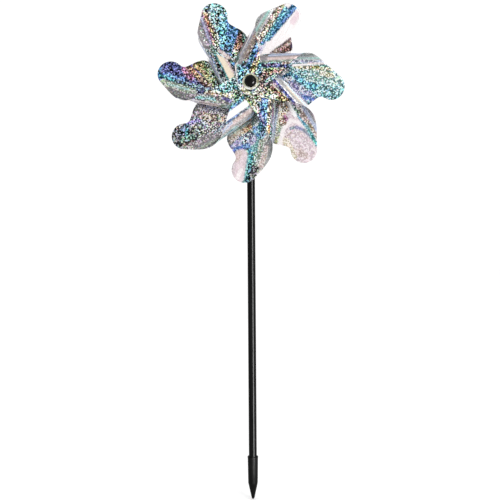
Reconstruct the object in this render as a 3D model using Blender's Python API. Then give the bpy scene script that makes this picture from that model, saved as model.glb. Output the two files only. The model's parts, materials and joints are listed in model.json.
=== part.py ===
"""A garden pinwheel: seven curled film vanes on a bush that spins on a pin through a plastic ground stake.

World frame: metres, +Z up, the wheel faces -Y. The origin is the point of the ground spike, on the
stake's axis. "Ahead" below is a distance in front of the stake's axis, so it is -Y.
"""
import math

import bmesh
import bpy
from mathutils import Vector
from mathutils.geometry import delaunay_2d_cdt

# --- stake and spike -------------------------------------------------------------------------
TUBE_RADIUS = 0.0031
TUBE_WALL = 0.0007
TUBE_BOTTOM = 0.0190
TUBE_TOP = 0.3225
FIT_GAP = 0.0003
RUNNING_GAP = 0.0001
PLUG_HEAD = 0.0010
PLUG_DEPTH = 0.0030
SPIKE_LENGTH = 0.0329
SPIKE_POINT = 0.0125
SPIKE_RADIUS_LOW = 0.00374
SPIKE_RADIUS_TOP = 0.00412
SPIKE_TIP_RADIUS = 0.0012
SPIKE_LIP = 0.0012

# --- axle, caps and hub, as distances ahead of the stake's axis ---------------------------------
HUB_HEIGHT = 0.3150
PIN_RADIUS = 0.0011
PIN_BACK = -0.0072
PIN_FRONT = 0.0316
BORE_RADIUS = PIN_RADIUS + FIT_GAP
BUSH_BORE_RADIUS = PIN_RADIUS + RUNNING_GAP
CAP_RADIUS = 0.0044
REAR_CAP_BACK = -0.0090
REAR_CAP_FRONT = -TUBE_RADIUS - FIT_GAP
STANDOFF_BACK = TUBE_RADIUS + FIT_GAP
STANDOFF_FRONT = 0.0062
STANDOFF_RADIUS = 0.0030
RETAINER_BACK = 0.0065
RETAINER_FRONT = 0.0077
FLANGE_RADIUS = 0.0059
BUSH_RADIUS = 0.0024
BUSH_BACK = 0.0067
FRONT_CAP_FRONT = 0.0335

# --- film vanes ----------------------------------------------------------------------------------
FILM = 0.0002
FILM_PITCH = 0.00045
BACK_STACK = 0.0082
LOBE_DISTANCE = 0.0615
LOBE_RADIUS = 0.0100
TAB_RADIUS = 0.0096
TAB_HOLE = BUSH_RADIUS + FIT_GAP
CURL_RADIUS = 0.00825
LEAN = math.radians(6.0)
RAMP_START = 0.0100
RAMP_END = 0.0290
SETTLED_LAYER = 3
MESH_STEP_ALONG = 0.0060
MESH_STEP_ROUND = 0.0026
MESH_STEP_EDGE = 0.0032
EDGE_CLEARANCE = 0.0012

# Each vane's lobe angle, counter-clockwise from +X seen from the front, its layer in the rear and
# front stacks of tabs, counted from the stake forwards, how far from its middle line it starts to
# curl, and how far the cut edge of its front strip dips. The vanes were threaded on by hand, so
# the pitch is uneven. The first one's edge dips under the last one, which closes the ring of
# overlaps.
VANES = (
    (116.0, 5, 0, 0.0116, 0.0034),
    (169.2, 4, 1, 0.0116, 0.0),
    (215.5, 3, 2, 0.0116, 0.0),
    (265.6, 2, 3, 0.0114, 0.0),
    (310.9, 1, 4, 0.0128, 0.0),
    (1.3, 0, 5, 0.0142, 0.0),
    (62.2, 6, 6, 0.0102, 0.0),
)
# Flat outline of the shoulder between lobe and back tab, and of the crotch between the two arms.
SHOULDER = [(0.0537, -0.0074), (0.0514, -0.0078), (0.0484, -0.0098), (0.0448, -0.0126),
            (0.0410, -0.0147), (0.0380, -0.0153), (0.0355, -0.0149)]
CROTCH = [(0.0145, 0.0030), (0.0175, 0.0052), (0.0213, 0.0100), (0.0250, 0.0150)]
DIP_ACROSS = (0.0020, 0.0085)
DIP_OUT = (0.0100, 0.0175)

LAYERS = len(VANES)
CURL_DEPTH = 2 * CURL_RADIUS
FRONT_STACK = BACK_STACK + CURL_DEPTH
BUSH_FLANGE_BACK = FRONT_STACK + (LAYERS - 1) * FILM_PITCH + FIT_GAP + FILM / 2
BUSH_FLANGE_FRONT = BUSH_FLANGE_BACK + 0.0010
FRONT_CAP_BACK = BUSH_FLANGE_FRONT + FIT_GAP
SPACER_BACK = BACK_STACK + (LAYERS - 1) * FILM_PITCH + FIT_GAP + FILM / 2
SPACER_FRONT = FRONT_STACK - FIT_GAP - FILM / 2
SPACER_WALL = 0.0006
ROUND_SIDES = 32


# --- helpers -------------------------------------------------------------------------------------
def clear_scene():
    for old in list(bpy.data.objects):
        bpy.data.objects.remove(old, do_unlink=True)


def material(name, colour, roughness, metallic=0.0):
    made = bpy.data.materials.new(name)
    made.use_nodes = True
    shader = made.node_tree.nodes["Principled BSDF"]
    shader.inputs["Base Color"].default_value = (*colour, 1.0)
    shader.inputs["Roughness"].default_value = roughness
    shader.inputs["Metallic"].default_value = metallic
    return made


def add_object(name, verts, faces, finish, smooth_angle=math.radians(35)):
    mesh = bpy.data.meshes.new(name)
    mesh.from_pydata(verts, [], faces)
    mesh.validate()
    tidy = bmesh.new()
    tidy.from_mesh(mesh)
    bmesh.ops.recalc_face_normals(tidy, faces=tidy.faces)
    tidy.to_mesh(mesh)
    tidy.free()
    mesh.shade_smooth()
    mesh.set_sharp_from_angle(angle=smooth_angle)
    mesh.materials.append(finish)
    made = bpy.data.objects.new(name, mesh)
    bpy.context.scene.collection.objects.link(made)
    return made


def arc(centre, radius, start, stop, steps):
    """Points on a circle from one angle to another, both in degrees, ends included."""
    angles = [math.radians(start + (stop - start) * i / steps) for i in range(steps + 1)]
    return [(centre[0] + radius * math.cos(a), centre[1] + radius * math.sin(a)) for a in angles]


def turned(name, profile, finish, hollow=False, sides=ROUND_SIDES):
    """Turn (radius, height) points about the local Z axis.

    A solid profile starts and ends on the axis; a hollow one is a closed loop that never
    touches it.
    """
    verts, rings = [], []
    for radius, height in profile:
        if radius < 1e-9:
            rings.append([len(verts)] * sides)
            verts.append((0.0, 0.0, height))
            continue
        rings.append([len(verts) + i for i in range(sides)])
        for i in range(sides):
            turn = math.tau * i / sides
            verts.append((radius * math.cos(turn), radius * math.sin(turn), height))
    pairs = list(zip(rings, rings[1:]))
    if hollow:
        pairs.append((rings[-1], rings[0]))
    faces = []
    for low, high in pairs:
        for i in range(sides):
            j = (i + 1) % sides
            corners = dict.fromkeys((low[i], low[j], high[j], high[i]))
            if len(corners) > 2:
                faces.append(tuple(corners))
    return add_object(name, verts, faces, finish)


def on_axle(piece, pivot):
    """Lay a turned piece along the axle: its local Z points ahead of the stake."""
    piece.rotation_euler = (math.radians(90), 0.0, 0.0)
    piece.location = (0.0, 0.0, 0.0)
    piece.parent = pivot


def ring_profile(inner, outer, back, front, edge=0.0003):
    """A plain ring with its outer edges broken."""
    return [(inner, back), (outer - edge, back), (outer, back + edge),
            (outer, front - edge), (outer - edge, front), (inner, front)]


# --- stake ---------------------------------------------------------------------------------------
def make_spike(finish):
    """Moulded point with a socket that the stake tube is pushed into."""
    socket = TUBE_RADIUS + FIT_GAP
    tip_height = SPIKE_TIP_RADIUS
    profile = [(0.0, 0.0)]
    profile += [(SPIKE_TIP_RADIUS * math.sin(math.radians(a)),
                 tip_height - SPIKE_TIP_RADIUS * math.cos(math.radians(a))) for a in (35, 70)]
    profile += [(SPIKE_RADIUS_LOW * 0.97, SPIKE_POINT - 0.0004),
                (SPIKE_RADIUS_LOW, SPIKE_POINT + 0.0004),
                (SPIKE_RADIUS_TOP - 0.0001, SPIKE_LENGTH - SPIKE_LIP - 0.0003),
                (SPIKE_RADIUS_TOP, SPIKE_LENGTH - SPIKE_LIP),
                (SPIKE_RADIUS_TOP, SPIKE_LENGTH - 0.0002),
                (SPIKE_RADIUS_TOP - 0.0002, SPIKE_LENGTH),
                (socket, SPIKE_LENGTH),
                (socket, TUBE_BOTTOM - FIT_GAP),
                (0.0, TUBE_BOTTOM - FIT_GAP)]
    return turned("ground_spike", profile, finish)


def make_tube(finish):
    """The hollow stake, with a hole through both walls for the axle pin."""
    inner = TUBE_RADIUS - TUBE_WALL
    tube = turned("stake_tube", ring_profile(inner, TUBE_RADIUS, TUBE_BOTTOM, TUBE_TOP, 0.0002),
                  finish, hollow=True)
    reach = 3 * TUBE_RADIUS
    drill = turned("axle_hole_cutter", [(0.0, -reach), (BORE_RADIUS, -reach), (BORE_RADIUS, reach),
                                        (0.0, reach)], finish, sides=20)
    drill.rotation_euler = (math.radians(90), 0.0, 0.0)
    drill.location = (0.0, 0.0, HUB_HEIGHT)
    drill.hide_render = True
    drill.display_type = "WIRE"
    cut = tube.modifiers.new("axle_hole", "BOOLEAN")
    cut.operation = "DIFFERENCE"
    cut.solver = "EXACT"
    cut.object = drill
    return tube


def make_plug(finish):
    """Push-in plug that closes the top of the stake."""
    stem = TUBE_RADIUS - TUBE_WALL - FIT_GAP
    under = TUBE_TOP + FIT_GAP
    top = under + PLUG_HEAD
    profile = [(0.0, TUBE_TOP - PLUG_DEPTH), (stem - 0.0003, TUBE_TOP - PLUG_DEPTH),
               (stem, TUBE_TOP - PLUG_DEPTH + 0.0004), (stem, under), (TUBE_RADIUS, under),
               (TUBE_RADIUS, top - 0.0003), (TUBE_RADIUS - 0.0003, top), (0.0, top)]
    return turned("stake_plug", profile, finish)


# --- axle and hub --------------------------------------------------------------------------------
def make_pin(finish):
    chamfer = 0.0003
    profile = [(0.0, PIN_BACK), (PIN_RADIUS - chamfer, PIN_BACK), (PIN_RADIUS, PIN_BACK + chamfer),
               (PIN_RADIUS, PIN_FRONT - chamfer), (PIN_RADIUS - chamfer, PIN_FRONT),
               (0.0, PIN_FRONT)]
    return turned("axle_pin", profile, finish, sides=20)


def make_front_cap(finish):
    """Domed cap pressed on the front of the pin, with a blind bore."""
    rim = 0.0010
    rise = FRONT_CAP_FRONT - FRONT_CAP_BACK - rim
    bore_end = PIN_FRONT + FIT_GAP
    profile = [(0.0, bore_end), (BORE_RADIUS, bore_end), (BORE_RADIUS, FRONT_CAP_BACK),
               (CAP_RADIUS - 0.0003, FRONT_CAP_BACK), (CAP_RADIUS, FRONT_CAP_BACK + 0.0003)]
    for i in range(9):
        turn = math.radians(90 * i / 8)
        profile.append((CAP_RADIUS * math.cos(turn) if i < 8 else 0.0,
                        FRONT_CAP_BACK + rim + rise * math.sin(turn)))
    return turned("front_cap", profile, finish)


def make_rear_cap(finish):
    """Flat-backed cap that locks the pin behind the stake."""
    bore_end = PIN_BACK - FIT_GAP
    profile = [(0.0, REAR_CAP_BACK), (CAP_RADIUS - 0.0004, REAR_CAP_BACK),
               (CAP_RADIUS, REAR_CAP_BACK + 0.0004), (CAP_RADIUS, REAR_CAP_FRONT - 0.0012),
               (CAP_RADIUS - 0.0012, REAR_CAP_FRONT), (BORE_RADIUS, REAR_CAP_FRONT),
               (BORE_RADIUS, bore_end), (0.0, bore_end)]
    return turned("rear_cap", profile, finish)


def make_bush(finish):
    """Flanged bush: its tube carries both stacks of vane tabs and turns on the pin."""
    profile = [(BUSH_BORE_RADIUS, BUSH_BACK), (BUSH_RADIUS - 0.0002, BUSH_BACK),
               (BUSH_RADIUS, BUSH_BACK + 0.0002), (BUSH_RADIUS, BUSH_FLANGE_BACK),
               (FLANGE_RADIUS - 0.0003, BUSH_FLANGE_BACK),
               (FLANGE_RADIUS, BUSH_FLANGE_BACK + 0.0003),
               (FLANGE_RADIUS, BUSH_FLANGE_FRONT - 0.0003),
               (FLANGE_RADIUS - 0.0003, BUSH_FLANGE_FRONT),
               (BUSH_BORE_RADIUS, BUSH_FLANGE_FRONT)]
    return turned("hub_bush", profile, finish, hollow=True)


# --- vanes ---------------------------------------------------------------------------------------
def front_hole(curl_start):
    """Flat position of the front tab's hole, which the curl carries round to the axle."""
    return (0.0, 2 * curl_start + math.pi * CURL_RADIUS)


def vane_outline(top):
    """The film's flat cut shape, clockwise from the outer edge of the lobe.

    The first coordinate runs out along the vane from the axle, the second round the curl. The
    front tab's hole is at top.
    """
    lobe = (LOBE_DISTANCE, 0.0)
    outer = 90 - math.degrees(math.atan2(top[1], LOBE_DISTANCE))
    loop = arc(lobe, LOBE_RADIUS, outer, -125, 13)
    loop += SHOULDER
    loop += arc((0.0, 0.0), TAB_RADIUS, -98, -290, 12)
    loop += CROTCH
    loop += arc(top, TAB_RADIUS, outer + 180, outer, 11)
    return loop


def divided(loop, step):
    """Split a closed loop's long edges, so that the film can bend along them."""
    split = []
    for (x0, y0), (x1, y1) in zip(loop, loop[1:] + loop[:1]):
        count = max(1, math.ceil(math.hypot(x1 - x0, y1 - y0) / step))
        split += [(x0 + (x1 - x0) * i / count, y0 + (y1 - y0) * i / count) for i in range(count)]
    return split


def inside(point, loop):
    """Whether a flat point is inside a loop, by counting the edges that a ray crosses."""
    x, y = point
    crossings = 0
    for (x0, y0), (x1, y1) in zip(loop, loop[1:] + loop[:1]):
        if (y0 > y) != (y1 > y) and x < x0 + (y - y0) * (x1 - x0) / (y1 - y0):
            crossings += 1
    return crossings % 2 == 1


def edge_distance(point, loop):
    here = Vector(point)
    nearest = math.inf
    for start, end in zip(loop, loop[1:] + loop[:1]):
        first, last = Vector(start), Vector(end)
        run = last - first
        along = max(0.0, min(1.0, (here - first).dot(run) / run.length_squared))
        nearest = min(nearest, (here - first - run * along).length)
    return nearest


def flat_mesh(outline, holes):
    """Triangulate the film: its outline, its holes and a grid of points between them."""
    loops = [outline] + holes
    points, edges = [], []
    for loop in loops:
        first = len(points)
        points += loop
        edges += [(first + i, first + (i + 1) % len(loop)) for i in range(len(loop))]
    low_x, high_x = min(p[0] for p in outline), max(p[0] for p in outline)
    low_y, high_y = min(p[1] for p in outline), max(p[1] for p in outline)
    for i in range(int((high_x - low_x) / MESH_STEP_ALONG) + 1):
        for j in range(int((high_y - low_y) / MESH_STEP_ROUND) + 1):
            shift = 0.5 * (j % 2)
            point = (low_x + (i + shift) * MESH_STEP_ALONG, low_y + j * MESH_STEP_ROUND)
            if not inside(point, outline) or any(inside(point, hole) for hole in holes):
                continue
            if all(edge_distance(point, loop) > EDGE_CLEARANCE for loop in loops):
                points.append(point)
    verts, _, faces, _, _, _ = delaunay_2d_cdt([Vector(p) for p in points], edges, [], 1, 1e-7)
    kept = []
    for face in faces:
        centre = sum((verts[i] for i in face), Vector((0.0, 0.0))) / len(face)
        if inside(centre, outline) and not any(inside(centre, hole) for hole in holes):
            kept.append(tuple(face))
    return [tuple(v) for v in verts], kept


def smooth_step(value, start, end):
    t = max(0.0, min(1.0, (value - start) / (end - start)))
    return t * t * (3 - 2 * t)


def curled(point, back_layer, front_layer, curl_start, dip):
    """Bend one flat point of the film: out, round and ahead of the stake."""
    out, flat = point
    turn = max(0.0, min(math.pi, (flat - curl_start) / CURL_RADIUS))
    across = flat
    if turn > 0.0:
        past = max(0.0, flat - curl_start - math.pi * CURL_RADIUS)
        across = curl_start + CURL_RADIUS * math.sin(turn) - past
    settle = smooth_step(math.hypot(out, across), RAMP_START, RAMP_END)
    own = BACK_STACK + back_layer * FILM_PITCH
    settled = BACK_STACK + SETTLED_LAYER * FILM_PITCH + across * math.tan(LEAN)
    back = own + (settled - own) * settle
    slope = math.atan2(front_hole(curl_start)[1], LOBE_DISTANCE)
    off_centre = out * math.sin(slope) - across * math.cos(slope)
    sunk = smooth_step(off_centre, *DIP_ACROSS) * smooth_step(math.hypot(out, across), *DIP_OUT)
    front = FRONT_STACK + front_layer * FILM_PITCH - dip * sunk
    ahead = back + (front - back) * (1 - math.cos(turn)) / 2
    return out, across, ahead


def make_vane(number, angle, back_layer, front_layer, curl_start, dip, pivot):
    top = front_hole(curl_start)
    holes = [arc(centre, TAB_HOLE, 0, 360 - 360 / 14, 13) for centre in ((0.0, 0.0), top)]
    verts, faces = flat_mesh(divided(vane_outline(top), MESH_STEP_EDGE), holes)
    turn = math.radians(angle)
    placed = []
    for point in verts:
        out, across, ahead = curled(point, back_layer, front_layer, curl_start, dip)
        placed.append((out * math.cos(turn) - across * math.sin(turn), -ahead,
                       out * math.sin(turn) + across * math.cos(turn)))
    finish = material(f"film_{number}", (0.80, 0.82, 0.84), 0.18, 1.0)
    vane = add_object(f"vane_{number}", placed, faces, finish, math.radians(60))
    vane.parent = pivot
    film = vane.modifiers.new("film", "SOLIDIFY")
    film.thickness = FILM
    film.offset = 0.0
    film.use_even_offset = True
    return vane


def make_hub(pivot):
    steel = material("axle_steel", (0.55, 0.55, 0.56), 0.3, 1.0)
    gloss_black = material("cap_plastic", (0.012, 0.012, 0.013), 0.18)
    ivory = material("bush_plastic", (0.78, 0.75, 0.66), 0.4)
    clear = material("spacer_plastic", (0.80, 0.80, 0.78), 0.35)
    on_axle(make_pin(steel), pivot)
    on_axle(make_front_cap(gloss_black), pivot)
    on_axle(make_rear_cap(gloss_black.copy()), pivot)
    on_axle(make_bush(ivory), pivot)
    rings = (
        ("standoff_spacer", BORE_RADIUS, STANDOFF_RADIUS, STANDOFF_BACK, STANDOFF_FRONT,
         material("standoff_plastic", (0.02, 0.02, 0.021), 0.35)),
        ("hub_retainer", TAB_HOLE, FLANGE_RADIUS, RETAINER_BACK, RETAINER_FRONT, ivory.copy()),
        ("hub_spacer", TAB_HOLE, TAB_HOLE + SPACER_WALL, SPACER_BACK, SPACER_FRONT, clear),
    )
    for name, inner, outer, back, front, finish in rings:
        edge = min(0.0003, (outer - inner) / 3)
        ring = turned(name, ring_profile(inner, outer, back, front, edge), finish, hollow=True)
        on_axle(ring, pivot)


def main():
    clear_scene()
    pivot = bpy.data.objects.new("wheel_axis", None)
    pivot.location = (0.0, 0.0, HUB_HEIGHT)
    bpy.context.scene.collection.objects.link(pivot)
    make_spike(material("spike_plastic", (0.020, 0.020, 0.021), 0.6))
    make_tube(material("tube_plastic", (0.012, 0.012, 0.013), 0.22))
    make_plug(material("plug_plastic", (0.014, 0.014, 0.015), 0.35))
    make_hub(pivot)
    for number, shape in enumerate(VANES, 1):
        make_vane(number, *shape, pivot)
    bpy.context.view_layer.update()


main()
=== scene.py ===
"""Looks of the garden pinwheel: holographic film vanes, black plastic stake, hub and studio.

Metres throughout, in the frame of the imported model: +Z up, the wheel faces -Y. The vanes' flat
pattern is in millimetres: "out" runs from the axle to the lobe, "flat" runs round the curl.
"""
import json
import math

import bmesh
import bpy
import numpy as np
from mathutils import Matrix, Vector
from mathutils.geometry import delaunay_2d_cdt


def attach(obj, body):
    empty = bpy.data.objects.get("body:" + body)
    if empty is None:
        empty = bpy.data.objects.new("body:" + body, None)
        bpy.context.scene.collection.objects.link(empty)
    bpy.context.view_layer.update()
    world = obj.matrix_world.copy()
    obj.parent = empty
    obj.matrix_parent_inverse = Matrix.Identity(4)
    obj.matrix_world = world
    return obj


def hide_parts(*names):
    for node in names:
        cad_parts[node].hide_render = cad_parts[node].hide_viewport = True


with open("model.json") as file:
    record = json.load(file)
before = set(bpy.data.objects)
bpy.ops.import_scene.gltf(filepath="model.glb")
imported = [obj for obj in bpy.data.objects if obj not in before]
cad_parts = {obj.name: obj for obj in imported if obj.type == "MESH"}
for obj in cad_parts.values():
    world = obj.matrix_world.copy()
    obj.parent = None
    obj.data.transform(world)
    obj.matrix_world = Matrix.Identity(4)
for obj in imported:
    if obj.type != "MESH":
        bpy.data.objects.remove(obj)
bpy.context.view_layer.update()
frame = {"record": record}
JOINT = next(j for j in frame["record"]["behaviour"]["joints"] if j["name"] == "wheel_spin")
HUB_HEIGHT = JOINT["pos_m"][2]
MM = 0.001

# --- film vanes, in millimetres ------------------------------------------------------------------
FILM = 0.14
FILM_PITCH = 0.45
BACK_STACK = 8.2
LOBE_DISTANCE = 61.5
LOBE_RADIUS = 9.97
TAB_RADIUS = 9.6
TAB_HOLE = 2.7
CURL_RADIUS = 8.25
FRONT_STACK = BACK_STACK + 2 * CURL_RADIUS
LEAN = math.radians(6.0)
# Each back arm leaves its own layer over RAMP and lies in SETTLED_LAYER from there on, leaning by
# LEAN. The front arm's free edge dips, where it has to, over DIP_ACROSS and DIP_OUT.
RAMP = (10.0, 29.0)
SETTLED_LAYER = 3
DIP_ACROSS = (2.0, 8.5)
DIP_OUT = (10.0, 17.5)
SHOULDER = [(53.7, -7.4), (51.4, -7.8), (48.4, -9.8), (44.8, -12.6), (41.0, -14.7), (38.0, -15.3),
            (35.5, -14.9), (33.0, -14.4)]
CROTCH = [(14.5, 3.0), (17.5, 5.2), (21.3, 10.0), (25.0, 15.0)]
GRID = 0.8
EDGE_STEP = 0.8
LOBE_STEPS = 48
TAB_STEPS = 40
HOLE_STEPS = 35
MERGE_DISTANCE = 1e-5
PATTERN_SPAN = 100.0
PATTERN_CORNER = (-15.0, -20.0)

# Lobe angle in degrees, rear and front layer, start of the curl and dip of the front strip's edge.
VANES = (
    (116.0, 5, 0, 11.6, 3.4),
    (169.2, 4, 1, 11.6, 0.0),
    (215.5, 3, 2, 11.6, 0.0),
    (265.6, 2, 3, 11.4, 0.0),
    (310.9, 1, 4, 12.8, 0.0),
    (1.3, 0, 5, 14.2, 0.0),
    (62.2, 6, 6, 10.2, 0.0),
)

# Display colours of the film's hues and of the light and shade painted on it, as red, green and
# blue from 0 to 255.
INKS = {
    "silver": (118, 144, 148), "frost": (122, 170, 178), "azure": (38, 94, 130),
    "sky": (94, 160, 192), "cobalt": (84, 116, 178), "indigo": (60, 68, 118),
    "slate": (82, 102, 122), "navy": (60, 66, 116), "violet": (118, 112, 166),
    "lilac": (160, 158, 196), "plum": (96, 78, 110), "magenta": (142, 88, 122),
    "rust": (98, 66, 56), "brown": (96, 80, 78), "clay": (152, 132, 120),
    "orange": (176, 126, 90), "peach": (206, 172, 150), "gold": (158, 138, 88),
    "lemon": (202, 200, 162), "olive": (122, 134, 92), "forest": (84, 108, 98),
    "sage": (154, 166, 150), "mint": (160, 200, 194), "teal": (60, 140, 146),
    "pine": (34, 92, 100), "sea": (116, 168, 172), "ash": (144, 138, 142),
    "grey": (176, 176, 176), "stone": (120, 118, 120), "smoke": (88, 90, 94),
    "coal": (54, 54, 60), "steel": (136, 146, 162), "dusk": (184, 194, 218),
    "blush": (228, 211, 217), "rose": (212, 192, 188), "cream": (236, 222, 200),
    "foam": (216, 244, 238), "pearl": (246, 240, 240), "white": (255, 255, 255),
}
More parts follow.
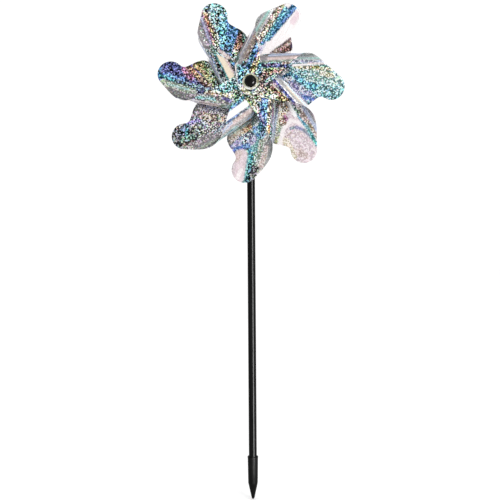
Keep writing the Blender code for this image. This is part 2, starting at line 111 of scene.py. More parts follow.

# Each vane's film: ground colour and sparkle, then strokes painted over it in turn. A stroke runs
# from (out, flat) to (out, flat), with a half width, a colour and a sparkle from 0 to 1. Besides the
# film's hues, the strokes paint its light and shade. The white and pale strokes with little sparkle
# are painted highlights and reflections of the white surroundings. The grey and dark strokes on the
# curls and creases are painted shade and dark reflections.
PAINT_AND_LIGHT = (
    # vane 1
    ("silver", 1.0, (
        (56, -6, 69, -4, 4.5, "frost", 1.0), (42, 8, 66, 6.5, 3.0, "clay", 1.0),
        (36, 8, 46, 5, 2.2, "sage", 1.0), (46, 9.6, 68, 7.6, 0.8, "magenta", 0.9),
        (52, 7.2, 64, 6, 1.0, "orange", 1.0), (34, 3, 50, -6, 5.6, "azure", 1.0),
        (29, 5, 37, 3, 1.8, "slate", 1.0), (40, 4, 54, -3, 2.6, "sky", 1.0),
        (36, -4, 44, -10, 2.2, "azure", 1.0), (29, -3, 39, -13, 3.9, "rust", 1.0),
        (35, -12, 40, -14, 1.4, "forest", 1.0), (32, -3, 36, -8, 0.6, "orange", 0.9),
        (25, 2, 30, -2, 2.0, "sage", 1.0), (28, 4, 36, 8.4, 1.3, "rose", 0.3),
        (38, 16, 62, 12, 4.2, "stone", 0.4), (36, 12, 42, 13, 1.3, "forest", 0.6),
        (44, 11.8, 66, 9.6, 0.9, "lilac", 0.3), (42, 15, 56, 14, 1.2, "ash", 0.5),
        (40, 19.6, 60, 16, 1.6, "ash", 0.1), (44, 24, 54, 20, 1.6, "white", 0.0),
        (-9, 52, 26, 46, 8.0, "frost", 1.0), (4, 42, 20, 46, 2.0, "azure", 1.0),
        (2, 40, 8, 38, 2.6, "frost", 1.0), (13, 43, 24, 42.6, 0.9, "coal", 0.9),
        (11, 38.6, 34, 38.6, 2.5, "cream", 0.06), (12, 41.2, 30, 41.2, 0.6, "rose", 0.3),
        (9, 35.6, 36, 35.6, 0.6, "teal", 0.6), (9, 33.2, 36, 33, 2.0, "smoke", 1.0),
        (14, 31.8, 36, 31.6, 0.7, "slate", 0.8), (9, 30.4, 40, 30.4, 0.5, "grey", 0.3),
        (8, 26.5, 44, 25.5, 3.4, "dusk", 0.15), (16, 29.3, 36, 29.3, 0.8, "steel", 0.2),
        (10, 27, 16, 26, 1.8, "sage", 0.4), (32, 26, 46, 22, 2.8, "white", 0.0),
    )),
    # vane 2
    ("indigo", 0.85, (
        (40, 2, 66, -5, 5.0, "indigo", 0.85), (50, 2.5, 66, 1, 1.6, "cobalt", 0.9),
        (56, -2, 64, -4, 1.4, "navy", 1.0), (70, 4, 71, -4, 1.3, "azure", 0.8),
        (58, 4.6, 69, 2.4, 1.0, "teal", 0.7), (32, 7, 56, 4.6, 2.0, "slate", 0.95),
        (46, 0, 52, -6, 2.4, "magenta", 0.9), (33, 3, 49, -7, 2.4, "rust", 0.85),
        (40, -2, 47, -7, 1.3, "orange", 1.0), (27, 1, 41, -13, 4.4, "olive", 0.9),
        (30, 3, 36, 0, 1.4, "clay", 1.0), (34, -4, 45, -10, 1.5, "gold", 1.0),
        (25, 1, 36, -14, 1.6, "sage", 1.0), (40, -11, 45, -12, 1.4, "gold", 1.0),
        (42, 10.4, 66, 7.4, 2.6, "sage", 0.5), (46, 9.4, 62, 8, 0.8, "mint", 0.4),
        (48, 13.6, 66, 10.6, 1.4, "ash", 0.35), (38, 17.5, 62, 13.8, 3.2, "stone", 0.3),
        (36, 12, 46, 13.6, 1.4, "ash", 0.5), (42, 19.8, 58, 17, 1.0, "smoke", 0.2),
        (-9, 54, 30, 44, 10.0, "mint", 1.0), (10, 45, 22, 40, 3.0, "sea", 1.0),
        (2, 40, 12, 38, 2.4, "sage", 1.0), (12, 48, 18, 45, 1.6, "frost", 1.0),
        (11, 37, 30, 37.4, 1.3, "lemon", 0.9), (22, 36, 32, 36, 0.9, "peach", 0.8),
        (9, 32.4, 38, 32.4, 2.8, "ash", 0.6), (10, 33, 17, 34.4, 1.4, "violet", 0.6),
        (24, 32.6, 38, 31.6, 1.3, "sea", 0.6), (20, 30.6, 30, 30.6, 0.8, "sage", 0.4),
        (9, 25.5, 48, 25, 3.8, "pearl", 0.1), (40, 24, 52, 21, 2.0, "white", 0.0),
        (22, 27.6, 34, 27.4, 1.2, "rose", 0.15), (10, 28, 17, 25, 2.6, "mint", 0.5),
        (16, 30, 20, 25, 1.2, "sage", 0.3),
    )),
    # vane 3
    ("ash", 1.0, (
        (30, -4, 50, 0, 12.0, "ash", 0.8), (31, 6, 42, -5, 2.4, "clay", 0.8),
        (37, 1, 39, -6, 0.9, "peach", 0.7), (29, 1, 33, 4, 1.6, "sage", 0.9),
        (44, 3, 47, -6, 2.0, "steel", 0.85), (47, -4, 55, -6.6, 1.7, "violet", 0.8),
        (50, 4, 56, 2, 2.2, "sage", 1.0), (59, 1, 66, 0, 7.6, "smoke", 1.0),
        (57, 4, 68, 2, 2.4, "forest", 1.0), (56, -5, 62, -4, 2.2, "slate", 1.0),
        (57, -3, 60, 0, 1.2, "teal", 0.9), (58, 6.6, 68, 4.6, 1.0, "brown", 0.9),
        (66, -2, 69, 2, 1.2, "coal", 1.0), (27, -1, 40.5, -14, 3.0, "pearl", 0.75),
        (22, 4, 28, 1, 2.8, "white", 0.75), (31, 11, 46, 13.4, 2.2, "steel", 0.6),
        (44, 10.8, 66, 8.6, 1.9, "ash", 0.5), (40, 13.6, 60, 11.6, 1.2, "ash", 0.4),
        (38, 18, 62, 14.6, 2.6, "stone", 0.3), (40, 15.6, 60, 13.8, 0.4, "grey", 0.05),
        (42, 17.4, 56, 15.6, 0.8, "sage", 0.2), (-9, 54, 26, 47, 9.0, "sage", 1.0),
        (10, 49, 20, 44, 1.8, "forest", 1.0), (2, 40, 9, 40, 4.0, "clay", 1.0),
        (2, 38, 8, 42, 1.2, "olive", 1.0), (8, 50, 12, 54, 1.4, "sky", 0.9),
        (11, 43, 26, 41.8, 1.3, "sky", 0.7), (14, 42.4, 22, 42.2, 0.7, "cobalt", 0.7),
        (11, 38.7, 34, 38.7, 2.4, "white", 0.0), (9, 35.2, 36, 35.2, 1.0, "steel", 0.7),
        (20, 35.6, 34, 35.6, 0.5, "cobalt", 0.6), (9, 32.6, 36, 32.6, 1.7, "rose", 0.2),
        (28, 33.6, 38, 31.6, 1.0, "dusk", 0.2), (9, 30, 42, 29.6, 0.9, "grey", 0.1),
        (16, 25.8, 28, 25, 3.3, "pearl", 0.12), (28, 26, 46, 24, 3.2, "foam", 0.12),
        (30, 27.6, 42, 26.6, 0.8, "mint", 0.15), (42, 24, 50, 21, 1.5, "grey", 0.1),
        (10, 28, 15, 26, 2.3, "dusk", 0.35),
    )),
    # vane 4
    ("silver", 0.8, (
        (34, 17, 64, 11, 6.0, "grey", 0.5), (44, 16, 58, 12, 2.0, "rose", 0.4),
        (40, 11, 56, 8, 2.4, "sage", 0.55), (34, 7, 56, 4, 3.0, "sea", 0.45),
        (38, 3, 46, -9, 4.4, "lilac", 0.55), (43, 1, 47, -8, 2.0, "cobalt", 0.55),
        (34, 3, 40, -2, 1.8, "steel", 0.9), (47, 3, 52, 5, 1.8, "sky", 0.6),
        (25, 1, 36, -9, 2.8, "peach", 0.6), (29, 2, 33, -3, 1.5, "orange", 0.7),
        (33, -5, 38, -13, 2.0, "cream", 0.5), (25.5, 0.5, 36, -14, 1.1, "foam", 0.2),
        (37, -8, 42, -13, 1.3, "rose", 0.6), (50, 6, 60, 5, 2.4, "mint", 0.8),
        (60, 6.5, 70, 4.5, 2.4, "smoke", 1.0), (51, 4.4, 58, 3.6, 1.5, "teal", 0.9),
        (58, 3.4, 70, 2.0, 1.7, "pine", 1.0), (60, 9.4, 67, 7.0, 1.3, "coal", 1.0),
        (50, 2, 71, -0.4, 1.0, "sea", 0.4), (50, -2.8, 68, -4.2, 4.0, "blush", 0.14),
        (58, -6, 66, -7, 3.6, "blush", 0.14), (49.5, -5.5, 53, -7, 2.8, "rose", 0.2),
        (62, -3, 68, -5, 1.6, "pearl", 0.1), (20, 8, 34, 10.5, 3.4, "sky", 0.8),
        (26, 5, 33, 7, 1.4, "cobalt", 0.8), (30, 12.4, 35, 11, 1.6, "slate", 0.9),
        (19, 7, 25, 5, 3.0, "foam", 0.7), (40, 20.6, 62, 15.4, 1.8, "grey", 0.12),
        (-9, 54, 26, 48, 9.0, "silver", 1.0), (9, 47, 20, 42.5, 1.6, "lemon", 0.9),
        (12, 50, 20, 46, 1.2, "olive", 0.9), (3, 41, 10, 41, 3.2, "lemon", 1.0),
        (11, 37.6, 30, 37.6, 2.6, "cobalt", 0.9), (14, 37, 20, 36, 1.0, "sky", 0.9),
        (22, 40.4, 30, 37, 1.0, "violet", 0.8), (11, 33.4, 36, 33.4, 1.4, "clay", 0.9),
        (18, 34.4, 32, 34.4, 0.6, "sage", 0.8), (30, 32.6, 35, 32.6, 1.0, "orange", 0.9),
        (11, 31, 28, 30.4, 1.0, "ash", 0.5), (10, 30, 14, 27, 1.8, "lemon", 0.3),
        (14, 26.5, 24, 25.5, 2.8, "foam", 0.15), (17, 29.4, 24, 29.6, 0.8, "magenta", 0.3),
        (24, 27, 40, 26, 2.8, "dusk", 0.1), (36, 27, 40, 25, 1.6, "mint", 0.15),
        (40, 25, 48, 22, 2.4, "grey", 0.1),
    )),
    # vane 5
    ("blush", 0.25, (
        (50, -1, 62, -2, 9.0, "blush", 0.3), (47, -6, 60, -9, 2.8, "cream", 0.4),
        (60, -4, 66, -2, 2.4, "rose", 0.35), (45, -4, 45, 1, 0.9, "rose", 0.4),
        (46, -11, 39, -1, 1.8, "pearl", 0.05), (39, -1, 38.4, 7, 1.7, "pearl", 0.03),
        (38.4, 7, 44, 10.8, 1.4, "pearl", 0.03), (44, 11.2, 60, 10.8, 0.8, "pearl", 0.05),
        (42.8, 3, 45, 6.8, 1.2, "steel", 0.3), (45, 6.8, 50, 9.4, 1.2, "lilac", 0.25),
        (50, 9.4, 60, 9.8, 0.9, "steel", 0.2), (31, 1, 41, -12, 3.4, "lemon", 0.6),
        (36, 0, 40, -8, 1.2, "sage", 0.5), (26, 8, 35, 2, 3.0, "peach", 0.8),
        (28, 9.6, 34, 5, 1.2, "rust", 0.9), (33, 6, 36, 5, 1.2, "magenta", 0.6),
        (20, 9, 28, 10, 4.0, "cream", 0.85), (23, 9, 29, 12, 0.9, "peach", 0.9),
        (24, 6, 32, 2, 1.2, "cream", 0.7), (25, 4, 40.5, -14, 1.9, "dusk", 0.3),
        (38, 17, 60, 13.6, 3.6, "rose", 0.55), (40, 17.6, 54, 15, 1.2, "clay", 0.6),
        (36, 13.4, 50, 12.6, 1.0, "sky", 0.5), (50, 12.8, 65, 9.8, 1.5, "sea", 0.4),
        (56, 11.4, 64, 9.8, 0.9, "teal", 0.7), (31, 15.4, 38, 15.4, 1.4, "forest", 0.8),
        (28, 17, 31, 17, 1.2, "plum", 0.6), (25, 14, 38, 12, 1.3, "white", 0.0),
        (38, 21.4, 58, 17.6, 2.2, "dusk", 0.2), (40, 24, 52, 20, 1.0, "grey", 0.1),
        (-9, 54, 26, 50, 8.0, "sage", 1.0), (10, 50, 14, 53, 1.6, "cream", 0.9),
        (10, 44, 28, 41, 2.8, "gold", 1.0), (12, 42.4, 22, 42, 1.2, "rust", 1.0),
        (13, 45.6, 20, 44, 1.0, "lemon", 1.0), (-4, 42, 8, 42, 4.0, "ash", 1.0),
        (2, 39, 6, 43, 1.4, "magenta", 0.9), (-3, 39.6, 2, 40, 1.6, "sky", 0.9),
        (5, 40, 9, 44, 1.6, "coal", 1.0), (10, 37.6, 32, 37.4, 1.2, "indigo", 0.6),
        (11, 38.6, 20, 38.6, 0.6, "plum", 0.8), (9, 34.4, 38, 34.4, 1.8, "grey", 0.2),
        (14, 29.4, 46, 28.5, 3.0, "white", 0.0), (20, 33, 34, 32.6, 0.8, "cream", 0.05),
        (9, 32.6, 13, 29, 2.2, "dusk", 0.3), (10, 31, 12, 28, 1.0, "lilac", 0.3),
    )),
    # vane 6
    ("frost", 0.8, (
        (30, 6, 64, 2, 12.0, "frost", 0.78), (48, 9, 66, 4, 4.6, "mint", 0.72),
        (54, 10, 62, 8, 1.8, "lemon", 0.7), (30, 8, 48, 0, 3.2, "sky", 0.8),
        (25, 10, 34, 6, 2.0, "azure", 0.9), (44, 6, 52, 4, 2.0, "mint", 0.7),
        (29, 5, 45, -7, 3.4, "steel", 0.7), (33, 1, 47, -9, 2.6, "lilac", 0.6),
        (31, 4, 36, -1, 0.8, "violet", 0.6), (40, -7, 47, -9, 1.5, "cobalt", 0.6),
        (26.5, 2.4, 42, -14, 1.6, "pearl", 0.0), (29, 1.8, 43, -11.6, 0.5, "lilac", 0.3),
        (21, 10, 27, 13, 2.2, "white", 0.7), (34, 15.2, 62, 12.6, 1.2, "lemon", 0.8),
        (46, 15, 52, 14.4, 0.8, "gold", 0.8), (30, 16.4, 58, 17, 0.8, "pearl", 0.0),
        (44, 17.4, 58, 16.6, 0.5, "rose", 0.2), (30, 19.2, 58, 19, 1.4, "dusk", 0.45),
        (34, 19.2, 50, 19.2, 0.7, "steel", 0.6), (30, 24.6, 62, 21.6, 3.4, "grey", 0.1),
        (36, 21.6, 54, 21.2, 0.7, "mint", 0.15), (27, 14.6, 31, 16.4, 1.0, "slate", 0.5),
        (-8, 62, 24, 54, 9.0, "silver", 1.0), (6, 60, 14, 50, 3.4, "brown", 1.0),
        (8, 56, 18, 50, 1.2, "silver", 1.0), (-9, 52, -3, 46, 2.4, "sky", 1.0),
        (-9, 60, -8, 54, 2.0, "cream", 0.9), (-2, 50, 4, 46, 1.6, "frost", 1.0),
        (6, 47.4, 24, 46, 2.4, "clay", 1.0), (8, 45.6, 20, 45.4, 1.1, "olive", 1.0),
        (15, 47, 22, 46.4, 1.0, "rust", 1.0), (1, 42, 6, 42, 1.8, "gold", 0.9),
        (2, 47, 8, 46, 1.8, "sage", 1.0), (8, 42.4, 27, 43, 1.4, "indigo", 0.9),
        (10, 42, 20, 42, 0.6, "plum", 0.9), (24, 41.4, 31, 40.6, 0.9, "clay", 0.6),
        (8, 39.8, 30, 39.6, 0.7, "sage", 0.5), (8, 36, 40, 36, 3.0, "ash", 0.1),
        (14, 37.4, 34, 37, 1.2, "rose", 0.12), (15, 33.4, 36, 32.4, 1.8, "dusk", 0.1),
        (14, 29.6, 36, 29, 2.2, "dusk", 0.08), (36, 30, 44, 28, 2.2, "white", 0.0),
        (12, 34, 15, 30, 1.1, "brown", 0.3), (8, 33, 11, 30, 1.2, "pearl", 0.1),
    )),
    # vane 7: its pale ground is a painted reflection of the white surroundings, and the brown and
    # rust strokes on its corner at negative flat are painted shade
    ("pearl", 0.1, (
        (30, 0, 68, -5, 6.5, "pearl", 0.06), (60, -5, 69, -6, 2.2, "blush", 0.06),
        (28, 7, 40, 7.4, 1.7, "lilac", 0.5), (40, 6, 70, -0.6, 2.6, "azure", 0.65),
        (56, 1.2, 70, -2.2, 0.7, "cobalt", 0.5), (34, 8.4, 66, 4.4, 1.7, "sky", 0.8),
        (38, 9, 56, 7, 0.9, "frost", 0.9), (35, 11.2, 68, 8, 2.3, "clay", 0.85),
        (40, 10.2, 60, 9, 0.8, "lemon", 0.8), (44, 12.4, 66, 9.6, 0.8, "brown", 0.8),
        (36, 13.4, 64, 11.6, 0.6, "smoke", 0.4), (34, 18.6, 64, 15.2, 3.9, "grey", 0.15),
        (40, 16.6, 58, 14.6, 1.0, "mint", 0.15), (36, 14.6, 50, 14.4, 0.6, "sage", 0.3),
        (35, -6, 46, -13, 3.4, "brown", 0.6), (31.4, -1.8, 50, -10.8, 1.3, "brown", 0.45),
        (34, -4.4, 46, -11, 1.2, "clay", 0.5), (38, -8, 41, -13, 1.4, "rust", 0.8),
        (43, -13, 48, -12, 1.1, "plum", 0.7), (-8, 50, 26, 45, 11.0, "silver", 1.0),
        (-9, 46, 8, 35, 4.0, "frost", 1.0), (-9, 50, -7, 44, 2.0, "lemon", 0.8),
        (0, 55, 8, 52, 2.0, "brown", 1.0), (3, 50, 8, 50, 1.2, "coal", 1.0),
        (-6, 54, -1, 54, 1.4, "cream", 0.8), (8, 44, 20, 42.6, 1.9, "gold", 1.0),
        (14, 43, 20, 42.4, 0.9, "peach", 0.9), (9, 48.4, 15, 47, 1.2, "sky", 0.9),
        (9, 39.4, 28, 38.4, 2.0, "azure", 1.0), (18, 41, 26, 39, 0.9, "cobalt", 0.9),
        (-2, 39, 6, 36, 1.6, "sky", 1.0), (9, 36.6, 30, 36.2, 1.0, "smoke", 0.9),
        (12, 35.2, 32, 34.8, 0.8, "clay", 0.6), (9, 32.8, 38, 32.4, 1.8, "ash", 0.2),
        (14, 33.6, 32, 33.2, 0.6, "clay", 0.2), (10, 30.4, 38, 30.2, 0.6, "steel", 0.2),
        (9, 27, 32, 25.6, 3.2, "ash", 0.06), (32, 27, 48, 23, 3.0, "white", 0.0),
        (17, 26.4, 29, 26, 2.8, "rose", 0.15), (18, 28.6, 28, 28.4, 0.7, "clay", 0.2),
        (10, 29.4, 16, 25.4, 1.8, "forest", 0.5),
    )),
)


# --- small helpers -------------------------------------------------------------------------------
def linear(colour):
    """Display colour from 0 to 255 as linear light."""
    share = np.asarray(colour, dtype=float) / 255
    return np.where(share <= 0.04045, share / 12.92, ((share + 0.055) / 1.055) ** 2.4)


def smooth_step(value, start, end):
    """Ease from 0 at start to 1 at end."""
    t = np.clip((value - start) / (end - start), 0.0, 1.0)
    return t * t * (3 - 2 * t)


def arc(centre, radius, start, stop, steps):
    """Points along a circle between two angles in degrees, ends included."""
    angles = np.radians(np.linspace(start, stop, steps + 1))
    return [(centre[0] + radius * math.cos(a), centre[1] + radius * math.sin(a)) for a in angles]


def rounded(points, steps=5):
    """A smooth curve through given points, ends included."""
    padded = [points[0]] + list(points) + [points[-1]]
    curve = []
    for a, b, c, d in zip(padded, padded[1:], padded[2:], padded[3:]):
        for i in range(steps):
            t = i / steps
            curve.append(tuple(0.5 * (2 * q + (r - p) * t + (2 * p - 5 * q + 4 * r - s) * t * t
                                      + (3 * q - p - 3 * r + s) * t ** 3)
                               for p, q, r, s in zip(a, b, c, d)))
    return curve + [tuple(points[-1])]


# --- film mesh -----------------------------------------------------------------------------------
def front_hole(curl_start):
    """Flat place of the front tab's hole, which the curl carries round to the axle."""
    return (0.0, 2 * curl_start + math.pi * CURL_RADIUS)


def vane_outline(top):
    """The film's flat cut shape, clockwise from the outer edge of the lobe."""
    outer = 90 - math.degrees(math.atan2(top[1], LOBE_DISTANCE))
    lobe = arc((LOBE_DISTANCE, 0.0), LOBE_RADIUS, outer, -125, LOBE_STEPS)
    tab = arc((0.0, 0.0), TAB_RADIUS, -98, -290, TAB_STEPS)
    end = arc(top, TAB_RADIUS, outer + 180, outer, TAB_STEPS)
    shoulder = rounded([lobe[-1]] + SHOULDER)[1:]
    return lobe + shoulder + tab + rounded(CROTCH) + end


def divided(loop, step):
    """Split a closed loop's edges into pieces no longer than step."""
    split = []
    for (x0, y0), (x1, y1) in zip(loop, loop[1:] + loop[:1]):
        count = max(1, math.ceil(math.hypot(x1 - x0, y1 - y0) / step))
        split += [(x0 + (x1 - x0) * i / count, y0 + (y1 - y0) * i / count) for i in range(count)]
    return split


def inside(points, loop):
    """Which points lie inside a loop, by counting the edges that a ray crosses."""
    start = np.asarray(loop)
    end = np.roll(start, -1, axis=0)
    x, y = points[:, :1], points[:, 1:]
    spans = (start[:, 1] > y) != (end[:, 1] > y)
    rise = np.where(end[:, 1] == start[:, 1], 1.0, end[:, 1] - start[:, 1])
    meets = start[:, 0] + (y - start[:, 1]) * (end[:, 0] - start[:, 0]) / rise
    return (spans & (x < meets)).sum(axis=1) % 2 == 1


def flat_mesh(outline, holes):
    """Triangulate the flat film finely: its outline, its holes and a grid between them."""
    loops = [outline] + holes
    border = np.array([p for loop in loops for p in loop])
    edges, first = [], 0
    for loop in loops:
        edges += [(first + i, first + (i + 1) % len(loop)) for i in range(len(loop))]
        first += len(loop)
    low, high = border.min(axis=0), border.max(axis=0)
    across = np.arange(low[0], high[0], GRID)
    up = np.arange(low[1], high[1], GRID)
    grid = np.array([(x + (j % 2) * GRID / 2, y) for j, y in enumerate(up) for x in across])
    keep = inside(grid, outline)
    for hole in holes:
        keep &= ~inside(grid, hole)
    grid = grid[keep]
    gap = np.linalg.norm(grid[:, None] - border[None], axis=2).min(axis=1)
    grid = grid[gap > 0.5 * GRID]
    points = [Vector(p) for p in np.vstack([border, grid])]
    verts, _, faces, _, _, _ = delaunay_2d_cdt(points, edges, [], 1, MERGE_DISTANCE)
    verts = np.array([tuple(v) for v in verts])
    middles = np.array([verts[list(f)].mean(axis=0) for f in faces])
    keep = inside(middles, outline)
    for hole in holes:
        keep &= ~inside(middles, hole)
    return verts, [tuple(f) for f, kept in zip(faces, keep) if kept]


def curled(flat_points, back_layer, front_layer, curl_start, dip):
    """Bend flat points of the film: how far out, how far across and how far ahead they go."""
    out, flat = flat_points[:, 0], flat_points[:, 1]
    turn = np.clip((flat - curl_start) / CURL_RADIUS, 0.0, math.pi)
    past = np.maximum(0.0, flat - curl_start - math.pi * CURL_RADIUS)
    bent = curl_start + CURL_RADIUS * np.sin(turn) - past
    across = np.where(turn > 0.0, bent, flat)
    reach = np.hypot(out, across)
    own = BACK_STACK + back_layer * FILM_PITCH
    settled = BACK_STACK + SETTLED_LAYER * FILM_PITCH + across * math.tan(LEAN)
    back = own + (settled - own) * smooth_step(reach, *RAMP)
    slope = math.atan2(front_hole(curl_start)[1], LOBE_DISTANCE)
    off_centre = out * math.sin(slope) - across * math.cos(slope)
    sunk = smooth_step(off_centre, *DIP_ACROSS) * smooth_step(reach, *DIP_OUT)
    front = FRONT_STACK + front_layer * FILM_PITCH - dip * sunk
    return out, across, back + (front - back) * (1 - np.cos(turn)) / 2


def painted(points, ground, ground_sparkle, strokes):
    """Colour and sparkle of each flat point, painted light included, from the ground and strokes."""
    paint = np.tile(np.append(linear(INKS[ground]), ground_sparkle), (len(points), 1))
    for x0, y0, x1, y1, half_width, ink, sparkle in strokes:
        start, run = np.array((x0, y0)), np.array((x1 - x0, y1 - y0))
        along = np.clip(((points - start) @ run) / (run @ run), 0.0, 1.0)
        away = np.linalg.norm(points - start - along[:, None] * run, axis=1)
        soft = 0.3 + 0.3 * half_width
        cover = 1 - smooth_step(away, half_width - soft / 2, half_width + soft / 2)
        cover = cover[:, None]
        paint = paint * (1 - cover) + np.append(linear(INKS[ink]), sparkle) * cover
    return paint


def make_vane(number, shape, paint, finish):
    """One curled vane with its paint and pattern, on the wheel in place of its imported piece."""
    angle, back_layer, front_layer, curl_start, dip = shape
    top = front_hole(curl_start)
    last = 360 - 360 / (HOLE_STEPS + 1)
    holes = [divided(arc(centre, TAB_HOLE, 0, last, HOLE_STEPS), EDGE_STEP)
             for centre in ((0.0, 0.0), top)]
    flat, faces = flat_mesh(divided(vane_outline(top), EDGE_STEP), holes)
    out, across, ahead = curled(flat, back_layer, front_layer, curl_start, dip)
    turn = math.radians(angle)
    placed = np.column_stack([out * math.cos(turn) - across * math.sin(turn), -ahead,
                              out * math.sin(turn) + across * math.cos(turn)]) * MM
    placed[:, 2] += HUB_HEIGHT
    mesh = bpy.data.meshes.new(f"film_vane_{number}")
    mesh.from_pydata(placed.tolist(), [], faces)
    colours = mesh.color_attributes.new("film_paint", "FLOAT_COLOR", "POINT")
    colours.data.foreach_set("color", painted(flat, *paint).ravel())
    pattern = mesh.uv_layers.new(name="film_pattern")
    corners = np.empty(len(mesh.loops), dtype=np.int32)
    mesh.loops.foreach_get("vertex_index", corners)
    spread = (flat - np.array(PATTERN_CORNER)) / PATTERN_SPAN
    pattern.data.foreach_set("uv", spread[corners].ravel())
    mesh.shade_smooth()
    mesh.materials.append(finish)
    vane = bpy.data.objects.new(f"film_vane_{number}", mesh)
    bpy.context.scene.collection.objects.link(vane)
    film = vane.modifiers.new("film", "SOLIDIFY")
    film.thickness = FILM * MM
    film.offset = 0.0
    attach(vane, "wheel")
    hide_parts(f"vane_{number}")
    return vane


# --- materials -----------------------------------------------------------------------------------
class Nodes:
    """Short calls for building a material's node tree."""

    def __init__(self, name):
        self.material = bpy.data.materials.new(name)
        self.material.use_nodes = True
        self.tree = self.material.node_tree
        self.shader = self.tree.nodes["Principled BSDF"]

    def add(self, kind, **settings):
        node = self.tree.nodes.new(kind)
        for key, value in settings.items():
            setattr(node, key, value)
        return node

    def link(self, source, target):
        self.tree.links.new(source, target)

    def maths(self, operation, first, second):
        node = self.add("ShaderNodeMath", operation=operation)
        for socket, value in zip(node.inputs, (first, second)):
            if isinstance(value, (int, float)):
                socket.default_value = value
            else:
                self.link(value, socket)
        return node.outputs[0]

    def mix(self, factor, first, second, blend="MIX"):
        """Mix two colours, each a socket or a tuple, by a number or a socket."""
        node = self.add("ShaderNodeMix", data_type="RGBA", blend_type=blend)
        for socket, value in zip((node.inputs[0], node.inputs[6], node.inputs[7]),
                                 (factor, first, second)):
            if isinstance(value, (int, float)):
                socket.default_value = value
            elif isinstance(value, tuple):
                socket.default_value = (*value, 1.0)
            else:
                self.link(value, socket)
        return node.outputs[2]

    def ramp(self, source, stops):
        """A colour ramp whose stops are (position, grey level or colour)."""
        node = self.add("ShaderNodeValToRGB")
        elements = node.color_ramp.elements
        while len(elements) < len(stops):
            elements.new(0.5)
        for element, (position, value) in zip(elements, stops):
            element.position = position
            element.color = (*value, 1.0) if isinstance(value, tuple) else (value, value, value, 1.0)
        self.link(source, node.inputs[0])
        return node.outputs[0]

    def clamped(self, colour):
        """The colour, held between 0 and 1."""
        node = self.add("ShaderNodeMix", data_type="RGBA", clamp_result=True)
        node.inputs[0].default_value = 1.0
        self.link(colour, node.inputs[7])
        return node.outputs[2]

    def noise(self, coordinates, scale, detail=2.0):
        node = self.add("ShaderNodeTexNoise")
        node.inputs["Scale"].default_value = scale
        node.inputs["Detail"].default_value = detail
        self.link(coordinates, node.inputs["Vector"])
        return node.outputs["Fac"]

    def bump(self, height, strength, distance):
        node = self.add("ShaderNodeBump")
        node.inputs["Strength"].default_value = strength
        node.inputs["Distance"].default_value = distance
        self.link(height, node.inputs["Height"])
        self.link(node.outputs[0], self.shader.inputs["Normal"])

    def set(self, **values):
        """Set the shader's own sockets, named with _ for each space."""
        for name, value in values.items():
            self.shader.inputs[name.replace("_", " ")].default_value = value

    def stretched(self, scale):
        """The piece's own coordinates, scaled along each axis."""
        place = self.add("ShaderNodeTexCoord")
        squeeze = self.add("ShaderNodeMapping")
        squeeze.inputs["Scale"].default_value = scale
        self.link(place.outputs["Object"], squeeze.inputs["Vector"])
        return squeeze.outputs[0]


# Flakes of glitter: width in millimetres, then how bright and how washed out they are, each as
# (share of the flakes, amount), and how much of their own hue they have. Their brightness is
# painted glints and dark painted reflections, fixed on each flake.
CELL_SIZE = 0.88
CELL_PEAK = 4.0
CELL_TONES = ((0.0, 0.0), (0.25, 0.05), (0.43, 0.34), (0.57, 0.95), (0.71, 2.2), (1.0, CELL_PEAK))
CELL_WASH = ((0.43, 0.02), (0.71, 0.08), (1.0, 0.16))
CELL_HUE = 0.40
CELL_TILT = 0.25
# Scale of the painted sheen's fine streaks across the pattern.
STREAKS = (2.0, 130.0, 1.0)
GREY = (0.5, 0.5, 0.5)
UPRIGHT = (0.5, 0.5, 1.0)


def film_material():
    """Metallised film: painted glints on glitter where it sparkles, painted sheen streaks elsewhere.
    """
    n = Nodes("holographic_film")
    paint = n.add("ShaderNodeAttribute", attribute_name="film_paint")
    pattern = n.add("ShaderNodeUVMap", uv_map="film_pattern")
    cells = n.add("ShaderNodeTexVoronoi", voronoi_dimensions="2D")
    cells.inputs["Scale"].default_value = PATTERN_SPAN / CELL_SIZE
    n.link(pattern.outputs[0], cells.inputs["Vector"])
    # Cell colours average a half, so they are doubled to keep the paint's own brightness.
    tint = n.mix(1.0, cells.outputs["Color"], (2.0, 2.0, 2.0), "MULTIPLY")
    hued = n.mix(CELL_HUE, paint.outputs["Color"], tint, "MULTIPLY")
    dice = n.add("ShaderNodeTexWhiteNoise", noise_dimensions="2D")
    n.link(cells.outputs["Position"], dice.inputs["Vector"])
    hued = n.mix(n.ramp(dice.outputs["Value"], CELL_WASH), hued, GREY)
    # Painted glints: each flake is painted from black up to CELL_PEAK times as bright as the paint.
    tones = [(share, level / CELL_PEAK) for share, level in CELL_TONES]
    tone = n.ramp(dice.outputs["Value"], tones)
    lit = n.mix(1.0, tone, (CELL_PEAK, CELL_PEAK, CELL_PEAK), "MULTIPLY")
    flakes = n.clamped(n.mix(1.0, hued, lit, "MULTIPLY"))
    # Where the film is smooth, the paint gets a painted sheen in fine streaks that run outward.
    squeeze = n.add("ShaderNodeMapping")
    squeeze.inputs["Scale"].default_value = STREAKS
    n.link(pattern.outputs[0], squeeze.inputs["Vector"])
    streak = n.noise(squeeze.outputs[0], 1.0, 3.0)
    sheen = n.ramp(streak, ((0.30, (0.80, 0.86, 0.84)), (0.48, (1.0, 0.97, 0.98)),
                            (0.60, (1.0, 1.0, 1.0)), (0.72, (0.90, 0.93, 1.0))))
    smooth = n.mix(1.0, paint.outputs["Color"], sheen, "MULTIPLY")
    n.link(n.mix(paint.outputs["Alpha"], smooth, flakes), n.shader.inputs["Base Color"])
    tilt = n.add("ShaderNodeNormalMap", uv_map="film_pattern")
    n.link(n.mix(0.5, UPRIGHT, cells.outputs["Color"]), tilt.inputs["Color"])
    n.link(n.maths("MULTIPLY", paint.outputs["Alpha"], CELL_TILT), tilt.inputs["Strength"])
    n.link(tilt.outputs[0], n.shader.inputs["Normal"])
    n.set(Metallic=0.78, Roughness=0.24, Specular_IOR_Level=0.1)
    return n.material


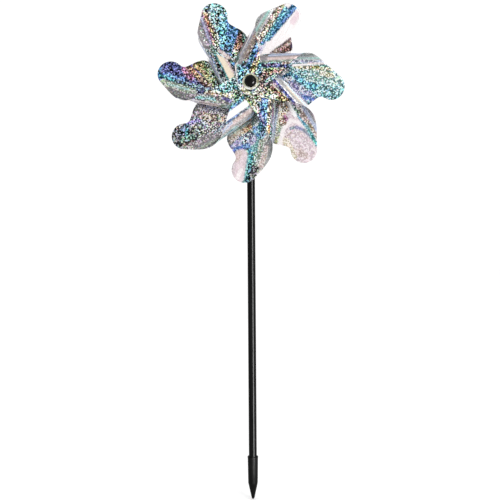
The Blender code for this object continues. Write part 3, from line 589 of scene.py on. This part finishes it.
def black_plastic(name, roughness, grain, tone, shine=0.09):
    """Black moulded plastic with a fine grain and faint wear."""
    n = Nodes(name)
    skin = n.stretched((1.0, 1.0, 1.0))
    patches = n.noise(skin, 90.0, 4.0)
    n.link(n.ramp(patches, ((0.3, tone * 0.7), (0.7, tone * 1.3))), n.shader.inputs["Base Color"])
    n.link(n.ramp(n.noise(skin, 260.0), ((0.3, roughness * 0.85), (0.7, roughness * 1.15))),
           n.shader.inputs["Roughness"])
    n.bump(n.noise(skin, 2600.0, 3.0), grain, 0.0002)
    n.set(Specular_IOR_Level=shine)
    return n.material


def tube_material():
    """Gloss black extruded tube with faint lines along it."""
    n = Nodes("gloss_black_tube")
    lines = n.noise(n.stretched((1.0, 1.0, 0.02)), 2200.0, 3.0)
    n.link(n.ramp(lines, ((0.3, 0.0002), (0.7, 0.0008))), n.shader.inputs["Base Color"])
    smears = n.noise(n.stretched((1.0, 1.0, 0.15)), 120.0, 4.0)
    n.link(n.ramp(smears, ((0.35, 0.09), (0.7, 0.14))), n.shader.inputs["Roughness"])
    n.bump(lines, 0.12, 0.0001)
    n.set(Specular_IOR_Level=0.032)
    return n.material


def ivory_material():
    """Off-white moulded plastic, a little yellowed and waxy."""
    n = Nodes("ivory_plastic")
    skin = n.stretched((1.0, 1.0, 1.0))
    stains = n.ramp(n.noise(skin, 300.0, 4.0), ((0.40, (0.26, 0.24, 0.13)),
                                                (0.50, (0.62, 0.58, 0.42)),
                                                (0.60, (0.90, 0.88, 0.80))))
    n.link(stains, n.shader.inputs["Base Color"])
    n.bump(n.noise(skin, 3000.0), 0.1, 0.0001)
    n.set(Roughness=0.38, Subsurface_Weight=0.1)
    return n.material


def spacer_material():
    """Milky cut tube."""
    n = Nodes("milky_tube")
    lines = n.noise(n.stretched((1.0, 0.05, 1.0)), 2500.0)
    n.link(n.ramp(lines, ((0.3, (0.74, 0.75, 0.74)), (0.7, (0.86, 0.86, 0.84)))),
           n.shader.inputs["Base Color"])
    n.bump(lines, 0.1, 0.0001)
    n.set(Roughness=0.3)
    return n.material


def steel_material():
    """Bright drawn wire with fine scratches along it."""
    n = Nodes("drawn_steel")
    lines = n.noise(n.stretched((1.0, 0.03, 1.0)), 3500.0, 3.0)
    n.link(n.ramp(lines, ((0.3, (0.42, 0.42, 0.43)), (0.7, (0.62, 0.62, 0.62)))),
           n.shader.inputs["Base Color"])
    n.link(n.ramp(lines, ((0.3, 0.22), (0.7, 0.38))), n.shader.inputs["Roughness"])
    n.bump(lines, 0.1, 0.00005)
    n.set(Metallic=1.0)
    return n.material


def finish_nodes():
    """Give the carried-over pieces their materials."""
    satin = black_plastic("satin_black", roughness=0.34, grain=0.15, tone=0.007)
    finishes = {
        "stake_tube": tube_material(),
        "ground_spike": black_plastic("matte_black", 0.36, grain=0.35, tone=0.0005, shine=0.04),
        "stake_plug": satin,
        "standoff_spacer": satin,
        "front_cap": black_plastic("gloss_black", 0.16, grain=0.04, tone=0.0008),
        "rear_cap": black_plastic("gloss_black_rear", 0.17, grain=0.06, tone=0.003),
        "hub_bush": ivory_material(),
        "hub_retainer": ivory_material(),
        "hub_spacer": spacer_material(),
        "axle_pin": steel_material(),
    }
    for name, finish in finishes.items():
        piece = bpy.data.objects[name]
        piece.data.materials.clear()
        piece.data.materials.append(finish)


# --- studio --------------------------------------------------------------------------------------
# Lights: name, place, aim, size and watts. The small ones make the highlights on black plastic, and
# each also has the pieces that it lights.
KEY = ("key", (0.75, -0.95, 0.75), (0.0, 0.0, 0.5 * HUB_HEIGHT), (0.30, 0.70), 4.0)
WORLD_LIGHT = 1.08
FLOOR_RADIUS = 6.0
FLOOR_DROP = 0.0005
GLINTS = (
    ("stake_strip", (0.0338, -0.0725, 0.13), (0.0, 0.0, 0.13), (0.0277, 0.26), 2.7,
     ("stake_tube", "ground_spike")),
    ("cap_glint", (0.120, -0.130, 0.245), (0.0, 0.0, HUB_HEIGHT), (0.05, 0.09), 0.9,
     ("front_cap",)),
)
CAMERA_DISTANCE = 0.450
CAMERA_HEIGHT = 0.1927
CAMERA_SIDE = -0.00115
CAMERA_LENS = 41.8
CAMERA_ROLL = 0.38
SENSOR_WIDTH = 36.0


def make_camera():
    """A level camera in front of the wheel, rolled by a fraction of a degree."""
    camera = bpy.data.objects.new("camera", bpy.data.cameras.new("camera"))
    camera.data.lens = CAMERA_LENS
    camera.data.sensor_width = SENSOR_WIDTH
    camera.data.clip_start = 0.01
    camera.location = (CAMERA_SIDE, -CAMERA_DISTANCE, CAMERA_HEIGHT)
    camera.rotation_euler = (math.radians(90), math.radians(CAMERA_ROLL), 0.0)
    bpy.context.scene.collection.objects.link(camera)
    bpy.context.scene.camera = camera


def make_floor():
    """A wide white floor just below the spike."""
    mesh = bpy.data.meshes.new("studio_floor")
    form = bmesh.new()
    bmesh.ops.create_circle(form, cap_ends=True, segments=64, radius=FLOOR_RADIUS)
    form.to_mesh(mesh)
    form.free()
    n = Nodes("studio_white")
    n.set(Base_Color=(0.97, 0.97, 0.97, 1.0), Roughness=0.9, Specular_IOR_Level=0.1)
    mesh.materials.append(n.material)
    floor = bpy.data.objects.new("studio_floor", mesh)
    floor.location = (0.0, 0.0, -FLOOR_DROP)
    bpy.context.scene.collection.objects.link(floor)


def make_light(name, place, aim, size, power):
    """A rectangular area light."""
    lamp = bpy.data.lights.new(name, "AREA")
    lamp.shape = "RECTANGLE"
    lamp.size, lamp.size_y = size
    lamp.energy = power
    light = bpy.data.objects.new(name, lamp)
    light.location = place
    light.rotation_euler = (Vector(aim) - light.location).to_track_quat("-Z", "Y").to_euler()
    bpy.context.scene.collection.objects.link(light)
    return light


def make_glint(light, pieces):
    """Let only these pieces catch the light, and keep it out of the picture."""
    light.visible_camera = False
    lit = bpy.data.collections.new(light.name + "_pieces")
    for name in pieces:
        lit.objects.link(bpy.data.objects[name])
    light.light_linking.receiver_collection = lit


def make_studio():
    """Even white surroundings, one soft key light, the highlights and the floor."""
    world = bpy.data.worlds.new("studio")
    world.use_nodes = True
    sky = world.node_tree.nodes["Background"]
    sky.inputs["Color"].default_value = (1.0, 1.0, 1.0, 1.0)
    sky.inputs["Strength"].default_value = WORLD_LIGHT
    bpy.context.scene.world = world
    bpy.context.scene.view_settings.view_transform = "Standard"
    make_light(*KEY)
    for name, place, aim, size, power, pieces in GLINTS:
        make_glint(make_light(name, place, aim, size, power), pieces)
    make_floor()


def main():
    make_camera()
    make_studio()
    film = film_material()
    for number, (shape, paint) in enumerate(zip(VANES, PAINT_AND_LIGHT), 1):
        make_vane(number, shape, paint, film)
    finish_nodes()


main()
